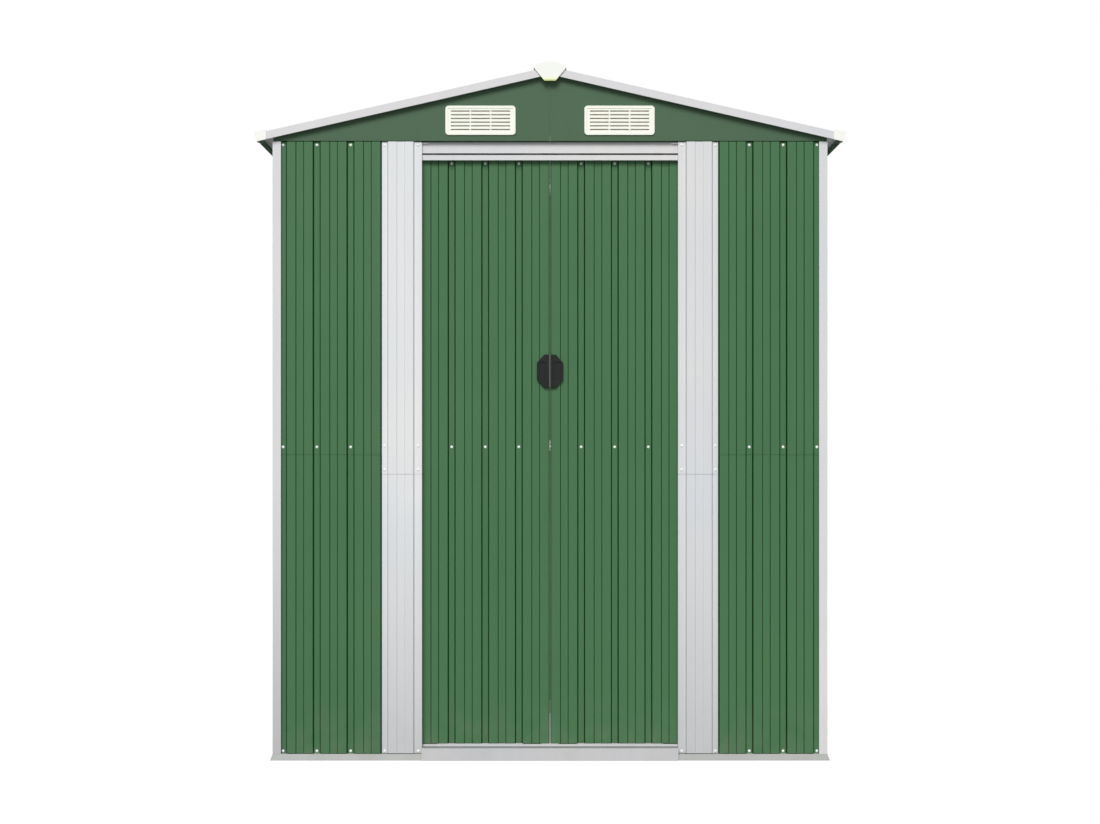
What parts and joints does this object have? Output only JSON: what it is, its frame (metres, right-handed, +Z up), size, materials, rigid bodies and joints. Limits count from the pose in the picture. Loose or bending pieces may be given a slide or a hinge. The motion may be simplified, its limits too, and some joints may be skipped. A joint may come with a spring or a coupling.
{
  "type": "metal storage shed",
  "caption": "Walk-in garden storage shed of profiled painted steel sheets on a folded frame, with double sliding doors, gable vents and a low pitched roof.",
  "frame": {"origin": "on the ground at the middle of the shed's plan", "axes": "+Z up, -Y out of the front where the doors are, +X to the right of someone facing the doors"},
  "size_m": [1.9146, 1.1086, 2.2675],
  "materials": {
    "green_sheet": "satin",
    "gable_sheet": "satin",
    "roof_sheet": "satin",
    "white_sheet": "satin",
    "white_frame": "satin",
    "inner_steel": "satin",
    "cream_plastic": "matte",
    "dark_plastic": "satin",
    "nylon": "matte"
  },
  "bodies": {
    "shed": {"base_rail_front": "white_frame", "base_rail_right": "white_frame", "base_rail_rear": "white_frame", "base_rail_left": "white_frame", "door_sill": "white_frame", "door_guide": "white_frame", "corner_post_front_left": "white_frame", "corner_post_front_right": "white_frame", "corner_post_rear_right": "white_frame", "corner_post_rear_left": "white_frame", "mid_rails_front": "white_frame", "mid_rail_right": "white_frame", "mid_rail_rear": "white_frame", "mid_rail_left": "white_frame", "door_track": "white_frame", "track_face": "white_frame", "door_head_strip": "white_frame", "top_rail_right": "white_frame", "top_rail_rear": "white_frame", "top_rail_left": "white_frame", "front_wall_left": "green_sheet", "front_wall_right": "green_sheet", "door_jamb_left": "white_sheet", "door_jamb_right": "white_sheet", "right_wall": "green_sheet", "rear_wall": "green_sheet", "left_wall": "green_sheet", "gable_front_left": "gable_sheet", "gable_front_right": "gable_sheet", "gable_rear_left": "gable_sheet", "gable_rear_right": "gable_sheet", "vents_front": "cream_plastic", "vents_rear": "cream_plastic", "ridge_beam": "inner_steel", "purlins": "inner_steel", "roof_left": "roof_sheet", "roof_right": "roof_sheet", "ridge_cap": "white_frame", "ridge_end_caps": "cream_plastic", "verge_trims_front": "white_frame", "verge_trims_rear": "white_frame", "eave_trims": "white_frame", "eave_caps": "cream_plastic"},
    "door_left": {"door_left_sheet": "green_sheet", "door_left_frame": "white_frame", "door_left_handle": "dark_plastic", "door_left_glides": "nylon"},
    "door_right": {"door_right_sheet": "green_sheet", "door_right_frame": "white_frame", "door_right_handle": "dark_plastic", "door_right_glides": "nylon"}
  },
  "joints": [
    {"name": "door_left_slide", "type": "slide", "parent": "shed", "child": "door_left", "axis": [-1, 0, 0], "range_m": [0, 0.365]},
    {"name": "door_right_slide", "type": "slide", "parent": "shed", "child": "door_right", "axis": [1, 0, 0], "range_m": [0, 0.365]}
  ]
}
